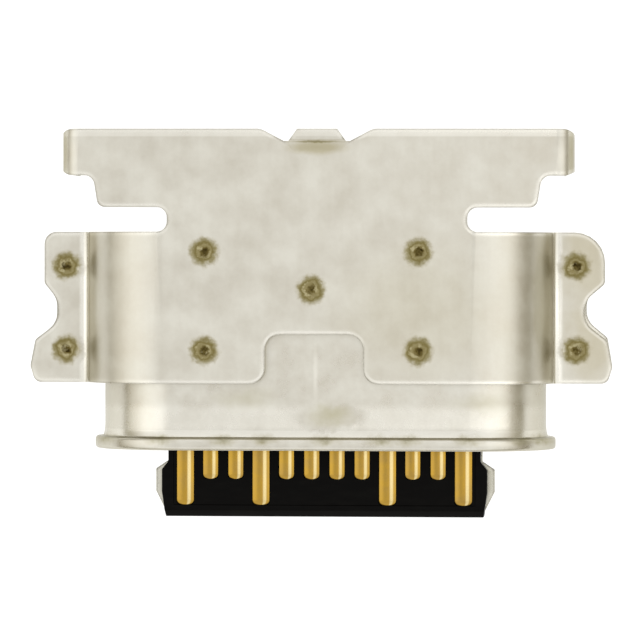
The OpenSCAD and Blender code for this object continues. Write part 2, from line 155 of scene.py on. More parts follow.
def fill_ramp(ramp: Node, stops: Iterable[tuple[float, Colour]]) -> None:
    """Gives a new colour ramp its stops.

    Args:
        ramp: The ramp's node.
        stops: Position and colour of each stop, in order.
    """
    elements = ramp.color_ramp.elements
    elements.remove(elements[-1])
    for k, (position, colour) in enumerate(stops):
        stop = elements.new(position) if k else elements[0]
        stop.position, stop.color = position, colour


def drawn_noise(tree: Tree, place: Socket, grain: Point, detail: float) -> Node:
    """Adds noise that is drawn out along Y, as rolling and moulding draw out a surface.

    Args:
        tree: The material's tree.
        place: Object coordinates.
        grain: Its width and its length in millimetres.
        detail: The noise's detail.

    Returns:
        The noise.
    """
    across, along = (1 / (size * MM) for size in grain)
    drawn = add_node(tree, "ShaderNodeMapping", {"Vector": place, "Scale": (across, along, across)})
    return add_node(tree, "ShaderNodeTexNoise", {"Vector": drawn, "Scale": 1.0, "Detail": detail})


def relief(tree: Tree, *layers: tuple[float, float, Node]) -> Node:
    """Adds bumps on top of each other.

    Args:
        tree: The material's tree.
        *layers: Strength, depth in millimetres and height of each.

    Returns:
        The last bump.
    """
    under: dict[str, Node] = {}
    for strength, depth, height in layers:
        own = {"Strength": strength, "Distance": depth * MM, "Height": height}
        under = {"Normal": add_node(tree, "ShaderNodeBump", own | under)}
    return under["Normal"]


def node_box(name: str) -> tuple[Vector, Vector]:
    """Gives a frame node's lowest and highest corners in millimetres."""
    low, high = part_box(name)
    return low / MM, high / MM


def new_object(name: str, data: Any) -> Object:
    """Makes an object and puts it in the scene."""
    made = bpy.data.objects.new(name, data)
    bpy.context.scene.collection.objects.link(made)
    return made


def finish_piece(name: str, mesh: Mesh, material: Material, replaced: Sequence[str] = ()) -> Object:
    """Turns a mesh in millimetres into a finished piece of the socket.

    Args:
        name: The piece's name.
        mesh: Its mesh, in the row's frame, in millimetres.
        material: What all its faces are made of.
        replaced: Frame nodes that it stands for.

    Returns:
        The piece's object, which rides on the root body.
    """
    mesh.transform(Matrix.Scale(MM, 4))
    mesh.name = name
    mesh.materials.clear()
    mesh.materials.append(material)
    piece = new_object(name, mesh)
    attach(piece, ROOT)
    if replaced:
        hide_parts(*replaced)
    log.info("%s: %d faces, in the place of %s", name, len(mesh.polygons), ", ".join(replaced) or "nothing")
    return piece


def merged_copy(node: str, gap: float = 5e-4, flat: float = 0.4) -> BMesh:
    """Copies a frame node's mesh in millimetres, with its loose triangles joined to flat faces.

    Args:
        node: The frame node.
        gap: Points closer than this, in millimetres, are one point.
        flat: Faces that meet at fewer degrees than this are one face.

    Returns:
        A closed bmesh whose coplanar triangles are dissolved.
    """
    bm = bmesh.new()
    bm.from_mesh(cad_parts[node].data)
    bmesh.ops.transform(bm, matrix=Matrix.Scale(1 / MM, 4), verts=bm.verts)
    bmesh.ops.remove_doubles(bm, verts=bm.verts, dist=gap)
    bmesh.ops.dissolve_limit(bm, angle_limit=math.radians(flat), verts=bm.verts, edges=bm.edges)
    return bm


def is_sharp(edge: bmesh.types.BMEdge, angle: float) -> bool:
    """Tells whether two faces meet at an edge by more than an angle in degrees."""
    return edge.is_manifold and edge.calc_face_angle(0.0) > math.radians(angle)


def round_edges(
    bm: BMesh, radius: float, segments: int, keep: Callable[[Vector], bool], angle: float = 32.0
) -> None:
    """Rounds the sharp edges of a bmesh, as stamping and tumbling leave them.

    Args:
        bm: The mesh, which is changed.
        radius: The rounding in millimetres.
        segments: Faces across the rounding.
        keep: Says of an edge's middle whether the edge stays sharp.
        angle: Least angle between two faces, in degrees, at which their edge counts as sharp.
    """
    edges = [e for e in bm.edges if is_sharp(e, angle) and not keep((e.verts[0].co + e.verts[1].co) / 2)]
    bmesh.ops.bevel(
        bm, geom=edges, offset=radius, offset_type="OFFSET", segments=segments, profile=0.5,
        affect="EDGES", clamp_overlap=True, harden_normals=False, miter_outer="ARC",
    )


def to_mesh(name: str, bm: BMesh) -> Mesh:
    """Turns a bmesh, which is freed, into a mesh."""
    mesh = bpy.data.meshes.new(name)
    bm.to_mesh(mesh)
    bm.free()
    return mesh


def smooth_mesh(bm: BMesh, angle: float = 30.0) -> Mesh:
    """Turns a bmesh into a mesh that is smooth up to an angle.

    Args:
        bm: The bmesh, which is freed.
        angle: Edges that turn by more than this many degrees stay hard.

    Returns:
        The mesh.
    """
    for face in bm.faces:
        face.smooth = True
    for edge in bm.edges:
        edge.smooth = not is_sharp(edge, angle)
    return to_mesh("made", bm)


# ---------------------------------------------------------------- finishes


@dataclass(frozen=True)
class Marks:
    """Marks on a sheet round some places, as laser welding leaves: a dark pit and a melted olive ring.

    Each band is a distance in millimetres, a colour and how much it covers. The scale says how far each axis
    counts in that distance. Pale bits of spatter lie between the pit and as far out as the bits say, where the
    flecks of the grit are bright. Marks that lie over the rims' painted highlights hide them and a little beside
    them, and the others veil them only as far as they cover.
    """

    places: tuple[Point3, ...]
    warp: float = 0.1
    grit: float = 0.13
    scale: Point3 = (1.0, 1.0, 1.0)
    pit: Point = (0.05, 0.08)
    bits: float = 0.17
    flecks: Point = (0.52, 0.6)
    spatter: str = "#AAA17D"
    roughness: float = 0.46
    over_rims: bool = True
    beside: float = 0.08
    bands: tuple[tuple[float, str, float], ...] = (
        (0.00, "#2A1F08", 1.0), (0.045, "#33280F", 1.0), (0.08, "#665A32", 1.0), (0.11, "#867B54", 1.0),
        (0.14, "#8E845E", 1.0), (0.18, "#776C42", 1.0), (0.23, "#8A815A", 0.9), (0.265, "#999070", 0.6),
        (0.33, FADED, 0.0),
    )

    def cover(self, tree: Tree, place: Socket, colour: Socket, rough: Socket) -> tuple[Socket, Socket, Socket]:
        """Lays the marks over a sheet's colour and roughness.

        Args:
            tree: The material's tree.
            place: Object coordinates.
            colour: The sheet's colour.
            rough: The sheet's roughness.

        Returns:
            The colour and the roughness with the marks, and a share that is 0 on the marks and 1 clear of them.
        """
        fleck = add_node(
            tree, "ShaderNodeTexNoise",
            {"Vector": place, "Scale": 1 / (self.grit * MM), "Detail": 3.0, "Roughness": 0.6},
        )
        nearest = self._nearest(tree, place, fleck)
        reach = self.bands[-1][0]
        share = add_node(tree, "ShaderNodeMapRange", {"Value": nearest, "From Max": reach * MM})
        ramp = add_node(tree, "ShaderNodeValToRGB", {"Fac": share})
        fill_ramp(ramp, [(away / reach, linear(code)[:3] + (covers,)) for away, code, covers in self.bands])
        covered, mark = ramp.outputs["Alpha"], ramp.outputs["Color"]
        if self.bits:
            bit: Node | None = None
            for value, span in (
                (nearest, (self.bits * MM, self.bits * 0.75 * MM)),
                (nearest, (self.pit[0] * MM, self.pit[1] * MM)),
                (fleck, self.flecks),
            ):
                limit = {"To Max": bit} if bit else {}
                bit = add_node(tree, "ShaderNodeMapRange", {"Value": value, FROM: span, **limit})
            mark = add_node(
                tree, "ShaderNodeMix", {"Factor": bit, 6: mark, 7: linear(self.spatter)}, data_type="RGBA"
            ).outputs[2]
        marked = add_node(tree, "ShaderNodeMix", {"Factor": covered, 6: colour, 7: mark}, data_type="RGBA")
        dull = add_node(tree, "ShaderNodeMix", {"Factor": covered, 2: rough, 3: self.roughness})
        if self.over_rims:
            ring = (reach * MM, (reach + self.beside) * MM)
            clear = add_node(tree, "ShaderNodeMapRange", {"Value": nearest, FROM: ring})
        else:
            clear = add_node(tree, "ShaderNodeMath", {0: 1.0, 1: covered}, operation="SUBTRACT")
        return marked.outputs[2], dull.outputs[0], clear.outputs[0]

    def _nearest(self, tree: Tree, place: Socket, fleck: Node) -> Socket:
        """Works out the distance to the nearest place, with a ragged edge.

        Args:
            tree: The material's tree.
            place: Object coordinates.
            fleck: The noise that makes it ragged.

        Returns:
            The distance.
        """
        middle = add_node(
            tree, "ShaderNodeVectorMath", {0: fleck.outputs["Color"], 1: (0.5, 0.5, 0.5)}, operation="SUBTRACT"
        )
        spread = (self.warp * MM * 2, self.warp * MM * 2, 0.0)
        warped = add_node(tree, "ShaderNodeVectorMath", {0: middle, 1: spread, 2: place}, operation="MULTIPLY_ADD")
        scaled = add_node(tree, "ShaderNodeVectorMath", {0: warped, 1: self.scale}, operation="MULTIPLY")
        nearest: Socket | None = None
        for spot in self.places:
            at = tuple(c * k * MM for c, k in zip(spot, self.scale))
            away = add_node(tree, "ShaderNodeVectorMath", {0: scaled, 1: at}, operation="DISTANCE").outputs["Value"]
            nearest = away if nearest is None else add_node(
                tree, "ShaderNodeMath", {0: nearest, 1: away}, operation="MINIMUM"
            ).outputs[0]
        return nearest


@dataclass(frozen=True)
class ToneAndLightPatch(Marks):
    """Patches without spatter that only veil the sheet, unless they lie over the rims: tone that differs from place to
    place, and painted shade, reflection and highlight.
    """

    bits: float = 0.0
    over_rims: bool = False


@dataclass(frozen=True)
class HighlightLine:
    """Line along which a highlight is painted on the metal: a place on it, 1 for each axis across it, and its width.
    """

    place: Point3
    across: Point3
    width: float
    share: float = 0.8


@dataclass(frozen=True)
class Finish:
    """What a piece is made of, and how its surface was made."""

    name: str

    def build(self) -> Material:
        """Builds the node material.

        Returns:
            The material.
        """
        material = bpy.data.materials.new(self.name)
        material.use_nodes = True
        tree = material.node_tree
        tree.nodes.clear()
        inputs = self.surface(tree, add_node(tree, "ShaderNodeTexCoord"))
        shader = add_node(tree, "ShaderNodeBsdfPrincipled", inputs)
        add_node(tree, "ShaderNodeOutputMaterial", {"Surface": shader})
        return material

    def surface(self, tree: Tree, coordinates: Node) -> dict[str, Any]:
        """Works out what goes into the shader.

        Args:
            tree: The material's tree.
            coordinates: Its texture coordinates.

        Returns:
            The shader's inputs.
        """
        raise NotImplementedError


@dataclass(frozen=True)
class NickelledSteel(Finish):
    """Cold-rolled stainless sheet, stamped and plated with satin nickel.

    A warm pale grey with a soft sheen: faint streaks along the rolling direction, cloudy patches where the
    plating differs, painted shade on steep sides, painted highlights on the rolled rims and along given lines with
    painted shade on the outermost edges, and olive marks where it was welded. Spans give the two ends between
    which something sets in.
    """

    face: str = "#D1CEC3"
    shade: str = "#C1BCAF"
    # Colour of the painted shade on steep faces, the span of the normal's Z over which it sets in, and its share.
    side: str = "#8F8869"
    side_span: Point = (0.1, 0.8)
    side_share: float = 0.75
    roughness: float = 0.34
    roughness_span: float = 0.1
    polish: float = 0.7
    streak_width: float = 0.2
    streak_length: float = 1.6
    cloud: float = 0.7
    cloud_share: float = 0.84
    cloud_span: Point = (0.34, 0.66)
    grain: float = 0.05
    streak_depth: float = 0.0002
    grain_depth: float = 0.0004
    cloud_depth: float = 0.004
    # Painted rim light: highlights within rollover of the edges, weaker where an edge leans towards -X, and painted
    # shade on the outermost edge.
    rollover: float = 0.17
    rim_span: Point = (0.995, 0.97)
    lean_span: Point = (-0.3, -0.05)
    lean_share: float = 0.35
    rim_highlight: float = 0.8
    edge_shade: str = "#5A5238"
    edge_shade_span: Point = (0.82, 0.765)
    edge_shade_share: float = 0.85
    lines: tuple[HighlightLine, ...] = ()
    marks: tuple[Marks, ...] = ()

    def surface(self, tree: Tree, coordinates: Node) -> dict[str, Any]:
        """Works out what goes into the shader.

        Args:
            tree: The material's tree.
            coordinates: Its texture coordinates.

        Returns:
            The shader's inputs.
        """
        place = coordinates.outputs["Object"]
        streaks = drawn_noise(tree, place, (self.streak_width, self.streak_length), 4.0)
        clouds = add_node(
            tree, "ShaderNodeTexNoise",
            {"Vector": place, "Scale": 1 / (self.cloud * MM), "Detail": 5.0, "Roughness": 0.6},
        )
        grain = add_node(tree, "ShaderNodeTexNoise", {"Vector": place, "Scale": 1 / (self.grain * MM), "Detail": 2.0})
        both = add_node(tree, "ShaderNodeMix", {"Factor": self.cloud_share, 2: streaks, 3: clouds})
        share = add_node(tree, "ShaderNodeMapRange", {"Value": both, FROM: self.cloud_span})
        # Painted shade: faces mix towards the side colour the steeper they stand.
        facing = add_node(tree, "ShaderNodeVectorMath", {0: coordinates.outputs["Normal"]}, operation="ABSOLUTE")
        upright = add_node(tree, "ShaderNodeSeparateXYZ", {0: facing}).outputs["Z"]
        wall_shade = add_node(
            tree, "ShaderNodeMapRange", {"Value": upright, FROM: self.side_span, TO: (self.side_share, 0.0)}
        )
        colour = add_node(
            tree, "ShaderNodeMix", {"Factor": share, 6: linear(self.shade), 7: linear(self.face)}, data_type="RGBA"
        ).outputs[2]
        half = self.roughness_span / 2
        rough = add_node(
            tree, "ShaderNodeMapRange",
            {"Value": clouds, FROM: (0.3, 0.7), TO: (self.roughness - half, self.roughness + half)},
        ).outputs[0]
        clear: Socket | None = None
        for marks in self.marks:
            colour, rough, beside = marks.cover(tree, place, colour, rough)
            clear = beside if clear is None else add_node(
                tree, "ShaderNodeMath", {0: clear, 1: beside}, operation="MULTIPLY"
            ).outputs[0]
        metal: Socket | float = 1.0
        if self.rollover:
            colour, rough, metal = self._painted_rim_light(tree, place, colour, rough, clear)
        colour = add_node(
            tree, "ShaderNodeMix", {"Factor": wall_shade, 6: colour, 7: linear(self.side)}, data_type="RGBA"
        ).outputs[2]
        normal = relief(
            tree, (0.6, self.streak_depth, streaks), (0.5, self.grain_depth, grain), (0.8, self.cloud_depth, clouds)
        )
        return {"Base Color": colour, "Metallic": metal, "Roughness": rough, "Normal": normal}

    def _painted_rim_light(
        self, tree: Tree, place: Socket, colour: Socket, rough: Socket, clear: Socket | None
    ) -> tuple[Socket, Socket, Socket]:
        """Paints highlights on the metal at its rolled edges, less on edges that lean towards -X, and along the
        highlight lines, and paints shade on its outermost edges.

        Args:
            tree: The material's tree.
            place: Object coordinates.
            colour: The sheet's colour.
            rough: The sheet's roughness.
            clear: Share that is 0 on the marks, if there are any.

        Returns:
            The colour and the roughness with the painted rim light, and how metallic it is under the painted edge
            shade.
        """
        # Painted highlight on the rounded rims, where the rounded normal turns away from the face's own.
        near = add_node(tree, "ShaderNodeBevel", {"Radius": self.rollover * MM}, samples=8)
        flat = add_node(tree, "ShaderNodeNewGeometry").outputs["Normal"]
        turn = add_node(tree, "ShaderNodeVectorMath", {0: near, 1: flat}, operation="DOT_PRODUCT").outputs["Value"]
        share = add_node(
            tree, "ShaderNodeMapRange", {"Value": turn, FROM: self.rim_span, "To Max": self.rim_highlight},
            interpolation_type="SMOOTHSTEP",
        )
        # Painted light from one side: rims that lean towards -X take less of the painted highlight.
        across = add_node(
            tree, "ShaderNodeVectorTransform", {"Vector": near}, vector_type="NORMAL",
            convert_from="WORLD", convert_to="OBJECT",
        )
        lean = add_node(tree, "ShaderNodeSeparateXYZ", {0: across}).outputs["X"]
        side = add_node(
            tree, "ShaderNodeMapRange", {"Value": lean, FROM: self.lean_span, TO: (self.lean_share, share)}
        )
        share = add_node(tree, "ShaderNodeMath", {0: share, 1: side}, operation="MINIMUM")
        # Painted shade: the outermost edge, where the rounded normal turns furthest, is mixed towards dark olive and
        # made less metallic.
        edge_shade = add_node(
            tree, "ShaderNodeMapRange", {"Value": turn, FROM: self.edge_shade_span, "To Max": self.edge_shade_share}
        )
        edge_shaded = add_node(
            tree, "ShaderNodeMix", {"Factor": edge_shade, 6: colour, 7: linear(self.edge_shade)}, data_type="RGBA"
        ).outputs[2]
        whole = add_node(tree, "ShaderNodeMath", {0: 1.0, 1: edge_shade}, operation="SUBTRACT")
        share = add_node(tree, "ShaderNodeMath", {0: share, 1: whole}, operation="MULTIPLY")
        # Painted highlights along the given lines.
        for line in self.lines:
            level = add_node(tree, "ShaderNodeVectorMath", {0: place, 1: line.across}, operation="MULTIPLY")
            away = add_node(
                tree, "ShaderNodeVectorMath", {0: level, 1: tuple(c * MM for c in line.place)}, operation="DISTANCE"
            ).outputs["Value"]
            line_highlight = add_node(
                tree, "ShaderNodeMapRange",
                {"Value": away, FROM: (line.width * 0.5 * MM, line.width * MM), TO: (line.share, 0.0)},
                interpolation_type="SMOOTHSTEP",
            )
            share = add_node(tree, "ShaderNodeMath", {0: share, 1: line_highlight}, operation="MAXIMUM")
        if clear is not None:
            share = add_node(tree, "ShaderNodeMath", {0: share, 1: clear}, operation="MULTIPLY")
        bright = add_node(
            tree, "ShaderNodeMix", {"Factor": share, 6: edge_shaded, 7: linear(PAINTED_HIGHLIGHT)}, data_type="RGBA"
        )
        smooth = add_node(tree, "ShaderNodeMix", {"Factor": share, 2: rough, 3: self.roughness * self.polish})
        metal = add_node(tree, "ShaderNodeMath", {0: whole, 1: share}, operation="MAXIMUM")
        return bright.outputs[2], smooth.outputs[0], metal.outputs[0]


@dataclass(frozen=True)
class GiltContact(Finish):
    """Hard gold over nickel on rolled copper alloy: a deep, slightly uneven yellow with a soft gloss.

    The blade carries a painted highlight stripe along one side of its crown, and painted shade along its -X edge.
    """

    name: str = "hard_gold_plating"
    face: str = "#B08C38"
    shade: str = "#A68642"
    # Colours of the painted edge shade and of the painted highlight stripe.
    edge: str = "#8A6C30"
    stripe_highlight: str = "#DFCB94"
    roughness: float = 0.24
    streak: Point = (0.04, 0.9)
    streak_depth: float = 0.0006
    patch: float = 0.3
    patch_span: Point = (0.3, 0.6)
    # Width and share of the painted edge shade, and the bands of the painted highlight stripe across the blade.
    edge_width: float = 0.06
    edge_share: float = 0.7
    bands: tuple[Point, ...] = ((0.0, 0.0), (0.58, 0.0), (0.66, 0.9), (0.76, 0.9), (0.84, 0.0))

    def surface(self, tree: Tree, coordinates: Node) -> dict[str, Any]:
        """Works out what goes into the shader, with the painted highlight stripe and the painted edge shade on the
        contacts' attribute across the blade.

        Args:
            tree: The material's tree.
            coordinates: Its texture coordinates.

        Returns:
            The shader's inputs.
        """
        place = coordinates.outputs["Object"]
        across = add_node(tree, "ShaderNodeAttribute", attribute_name="across").outputs["Fac"]
        streaks = drawn_noise(tree, place, self.streak, 2.0)
        patches = add_node(
            tree, "ShaderNodeTexNoise", {"Vector": place, "Scale": 1 / (self.patch * MM), "Detail": 2.0}
        )
        share = add_node(tree, "ShaderNodeMapRange", {"Value": patches, FROM: self.patch_span})
        # Painted highlight stripe across the blade, and painted shade along its -X edge.
        ramp = add_node(tree, "ShaderNodeValToRGB", {"Fac": across})
        fill_ramp(ramp, [(position, (covers, covers, covers, 1.0)) for position, covers in self.bands])
        rim = add_node(
            tree, "ShaderNodeMapRange", {"Value": across, FROM: (0.0, self.edge_width), TO: (self.edge_share, 0.0)}
        )
        colour: Socket | Colour = linear(self.shade)
        for factor, code in ((share, self.face), (ramp, self.stripe_highlight), (rim, self.edge)):
            colour = add_node(
                tree, "ShaderNodeMix", {"Factor": factor, 6: colour, 7: linear(code)}, data_type="RGBA"
            ).outputs[2]
        normal = relief(tree, (0.5, self.streak_depth, streaks))
        return {"Base Color": colour, "Metallic": 1.0, "Roughness": self.roughness, "Normal": normal}


@dataclass(frozen=True)
class BlackMoulding(Finish):
    """Glass-filled liquid-crystal polymer, injection moulded: near black, smooth, with faint flow marks."""

    face: str = "#070605"
    flow: str = "#0D0C0A"
    roughness: float = 0.3
    roughness_span: float = 0.16
    ior: float = 1.6
    gloss: float = 0.035
    flow_grain: Point = (0.5, 0.16)
    flow_span: Point = (0.45, 0.8)
    fibre: float = 0.035
    fibre_depth: float = 0.0012

    def surface(self, tree: Tree, coordinates: Node) -> dict[str, Any]:
        """Works out what goes into the shader.

        Args:
            tree: The material's tree.
            coordinates: Its texture coordinates.

        Returns:
            The shader's inputs.
        """
        place = coordinates.outputs["Object"]
        flow = drawn_noise(tree, place, self.flow_grain, 3.0)
        fibres = add_node(
            tree, "ShaderNodeTexNoise", {"Vector": place, "Scale": 1 / (self.fibre * MM), "Detail": 1.0}
        )
        share = add_node(tree, "ShaderNodeMapRange", {"Value": flow, FROM: self.flow_span})
        colour = add_node(
            tree, "ShaderNodeMix", {"Factor": share, 6: linear(self.face), 7: linear(self.flow)}, data_type="RGBA"
        ).outputs[2]
        half = self.roughness_span / 2
        rough = add_node(
            tree, "ShaderNodeMapRange", {"Value": flow, TO: (self.roughness - half, self.roughness + half)}
        )
        return {
            "Base Color": colour, "Roughness": rough, "IOR": self.ior, "Specular IOR Level": self.gloss,
            "Normal": relief(tree, (0.5, self.fibre_depth, fibres)),
        }


# ---------------------------------------------------------------- geometry trees


def new_tree(name: str, **inputs: Sequence[str]) -> tuple[Tree, Any]:
    """Starts a geometry tree with named inputs, of which its material is one.

    Args:
        name: The tree's name.
        **inputs: Names of the inputs of each kind of socket.

    Returns:
        The tree and its inputs' sockets.
    """
    tree = bpy.data.node_groups.new(name, "GeometryNodeTree")
    for kind, names in {**inputs, "Material": ["Material"]}.items():
        for socket in names:
            tree.interface.new_socket(socket, in_out="INPUT", socket_type=f"NodeSocket{kind}")
    tree.interface.new_socket("Geometry", in_out="OUTPUT", socket_type="NodeSocketGeometry")
    return tree, add_node(tree, "NodeGroupInput").outputs


def moved(tree: Tree, geometry: Node, way: Node | Socket, *factors: Node | Socket) -> Node:
    """Moves geometry along a way.

    Args:
        tree: The tree.
        geometry: What is moved.
        way: The way, as a vector.
        *factors: What the way is multiplied by, one after the other.

    Returns:
        The moved geometry.
    """
    for factor in factors:
        way = add_node(tree, "ShaderNodeVectorMath", {0: way, "Scale": factor}, operation="SCALE")
    return add_node(tree, "GeometryNodeSetPosition", {"Geometry": geometry, "Offset": way})


def end_tree(tree: Tree, geometry: Node, material: Socket) -> Tree:
    """Ends a tree with real geometry that carries its material.

    Args:
        tree: The tree.
        geometry: What it made.
        material: The material input.

    Returns:
        The tree.
    """
    real = add_node(tree, "GeometryNodeRealizeInstances", {"Geometry": geometry})
    smooth = add_node(tree, "GeometryNodeSetShadeSmooth", {"Geometry": real})
    dressed = add_node(tree, "GeometryNodeSetMaterial", {"Geometry": smooth, "Material": material})
    add_node(tree, "NodeGroupOutput", {"Geometry": dressed})
    return tree


def grow(tree: Tree, values: dict[str, Any], gap: float = 1e-5) -> Mesh:
    """Runs a tree once, removes its helpers and gives its mesh.

    Args:
        tree: The geometry tree.
        values: Input name to value.
        gap: Points closer than this are one point.

    Returns:
        A plain mesh, in the tree's own units, closed and with its faces outwards.
    """
    host = new_object(tree.name + "_host", bpy.data.meshes.new(tree.name + "_host"))
    modifier = host.modifiers.new(tree.name, "NODES")
    modifier.node_group = tree
    for item in tree.interface.items_tree:
        if item.item_type == "SOCKET" and item.in_out == "INPUT" and item.name in values:
            modifier[item.identifier] = values[item.name]
    host.update_tag()
    bpy.context.view_layer.update()
    graph = bpy.context.evaluated_depsgraph_get()
    mesh = bpy.data.meshes.new_from_object(host.evaluated_get(graph), preserve_all_data_layers=True, depsgraph=graph)
    host.modifiers.clear()
    for helper in [host] + [value for value in values.values() if isinstance(value, Object)]:
        bpy.data.objects.remove(helper)
    bm = bmesh.new()
    bm.from_mesh(mesh)
    bmesh.ops.remove_doubles(bm, verts=bm.verts, dist=gap)
    bmesh.ops.recalc_face_normals(bm, faces=bm.faces)
    bm.to_mesh(mesh)
    bm.free()
    return mesh


def poly_curve(name: str, points: Sequence[Point]) -> Object:
    """Makes a closed helper curve of straight stretches in its own X and Y.

    Args:
        name: The helper's name.
        points: Its points.

    Returns:
        The helper object.
    """
    curve = bpy.data.curves.new(name, "CURVE")
    curve.dimensions = "3D"
    spline = curve.splines.new("POLY")
    spline.points.add(len(points) - 1)
    for at, (x, y) in zip(spline.points, points):
        at.co = (x, y, 0.0, 1.0)
    spline.use_cyclic_u = True
    return new_object(name, curve)


def point_cloud(name: str, points: Iterable[Point3]) -> Object:
    """Makes a helper object of loose points."""
    bm = bmesh.new()
    for point in points:
        bm.verts.new(point)
    return new_object(name, to_mesh(name, bm))


def arc(centre: Point, radius: float, start: float, end: float, steps: int) -> list[Point]:
    """Gives points of an arc.

    Args:
        centre: Its centre.
        radius: Its radius.
        start: Start angle in degrees.
        end: End angle in degrees.
        steps: Stretches along it.

    Returns:
        The points, ends included.
    """
    angles = [math.radians(start + (end - start) * i / steps) for i in range(steps + 1)]
    return [(centre[0] + radius * math.cos(a), centre[1] + radius * math.sin(a)) for a in angles]


def split(start: Point, end: Point, steps: int) -> list[Point]:
    """Gives the points between two points, ends left out."""
    return [
        (start[0] + (end[0] - start[0]) * i / steps, start[1] + (end[1] - start[1]) * i / steps)
        for i in range(1, steps)
    ]


# ---------------------------------------------------------------- sub-assemblies


@dataclass
class FrontShell:
    """Deep-drawn oval tube with a flange at its mouth, swept from one wall section."""

    straight: float = 2.89
    inner: float = 1.28
    wall: float = 0.2
    lip: float = 0.19
    flange: float = 0.24
    fillet: float = 0.035
    flare: float = 0.03
    flare_length: float = 0.3
    flare_steps: int = 9
    rim: float = 0.06
    rear_rim: float = 0.03
    path: float = 1.38
    around: int = 56
    dent: float = 0.012
    dent_width: float = 1.1

    def section(self, length: float) -> list[Point]:
        """Gives the wall's closed outline as distance from the path and distance from the front face.

        Args:
            length: The shell's length.

        Returns:
            The outline's points.
        """
        outer = self.inner + self.wall
        edge = outer + self.lip - self.rim
        start = self.flange + self.fillet
        points = arc((self.inner + self.rim, self.rim), self.rim, 180, 270, 4)
        points += arc((edge, self.rim), self.rim, 270, 360, 4)
        points += arc((edge, self.flange - self.rim), self.rim, 0, 90, 4)
        points += arc((outer + self.flare + self.fillet, start), self.fillet, 270, 190, 6)
        steps = [i / self.flare_steps for i in range(1, self.flare_steps + 1)]
        points += [(outer + self.flare * (1 - t) ** 3, start + self.flare_length * t) for t in steps]
        rear, inside = (outer, length - self.rear_rim), (self.inner, length - self.rear_rim)
        points += split(points[-1], rear, 22)
        points += [rear, (outer - self.rear_rim, length), (self.inner + self.rear_rim, length), inside]
        points += split(inside, (self.inner, self.rim), 12)
        return [(self.path - d, y) for d, y in points]

    def spine(self) -> list[Point]:
        """Gives the oval path through the middle of the wall, clockwise.

        Returns:
            The path's points.
        """
        right = arc((self.straight, 0.0), self.path, 90, -90, self.around)
        left = arc((-self.straight, 0.0), self.path, 270, 90, self.around)
        return right + split(right[-1], left[0], self.around) + left + split(left[-1], right[0], self.around)

    def tree(self) -> Tree:
        """Builds the tree that sweeps the section along the oval and dents the wall a little.

        Returns:
            The geometry tree.
        """
        tree, size = new_tree(
            "swept_shell", Object=("Oval Path", "Wall Section"), Float=("Dent Width", "Dent Depth", "Seed")
        )
        oval, section = (
            add_node(tree, "GeometryNodeObjectInfo", {"Object": size[name]}).outputs["Geometry"]
            for name in ("Oval Path", "Wall Section")
        )
        level = add_node(tree, "GeometryNodeSetCurveNormal", {"Curve": oval}, mode="Z_UP")
        swept = add_node(
            tree, "GeometryNodeCurveToMesh", {"Curve": level, "Profile Curve": section, "Fill Caps": False}
        )
        turn = (math.radians(90), 0.0, 0.0)
        stood = add_node(tree, "GeometryNodeTransform", {"Geometry": swept, "Rotation": turn})
        place = add_node(tree, "GeometryNodeInputPosition")
        waves = add_node(
            tree, "ShaderNodeTexNoise",
            {"Vector": place, "W": size["Seed"], "Scale": size["Dent Width"], "Detail": 2.0}, noise_dimensions="4D",
        )
        hollow = add_node(tree, "ShaderNodeMapRange", {"Value": waves, TO: (-0.75, 0.25)})
        outward = add_node(tree, "GeometryNodeInputNormal")
        return end_tree(tree, moved(tree, stood, outward, hollow, size["Dent Depth"]), size["Material"])

    def build(self, material: Material) -> Object:
        """Sweeps the shell in the place of its frame node.

        Args:
            material: Its finish.

        Returns:
            The piece.
        """
        high = node_box("front_shell")[1]
        mesh = grow(self.tree(), {
            "Oval Path": poly_curve("shell_path", self.spine()),
            "Wall Section": poly_curve("shell_section", self.section(high.y)),
            "Dent Width": self.dent_width, "Dent Depth": self.dent, "Seed": 4.0, "Material": material,
        })
        return finish_piece("front_shell_swept", mesh, material, ["front_shell"])


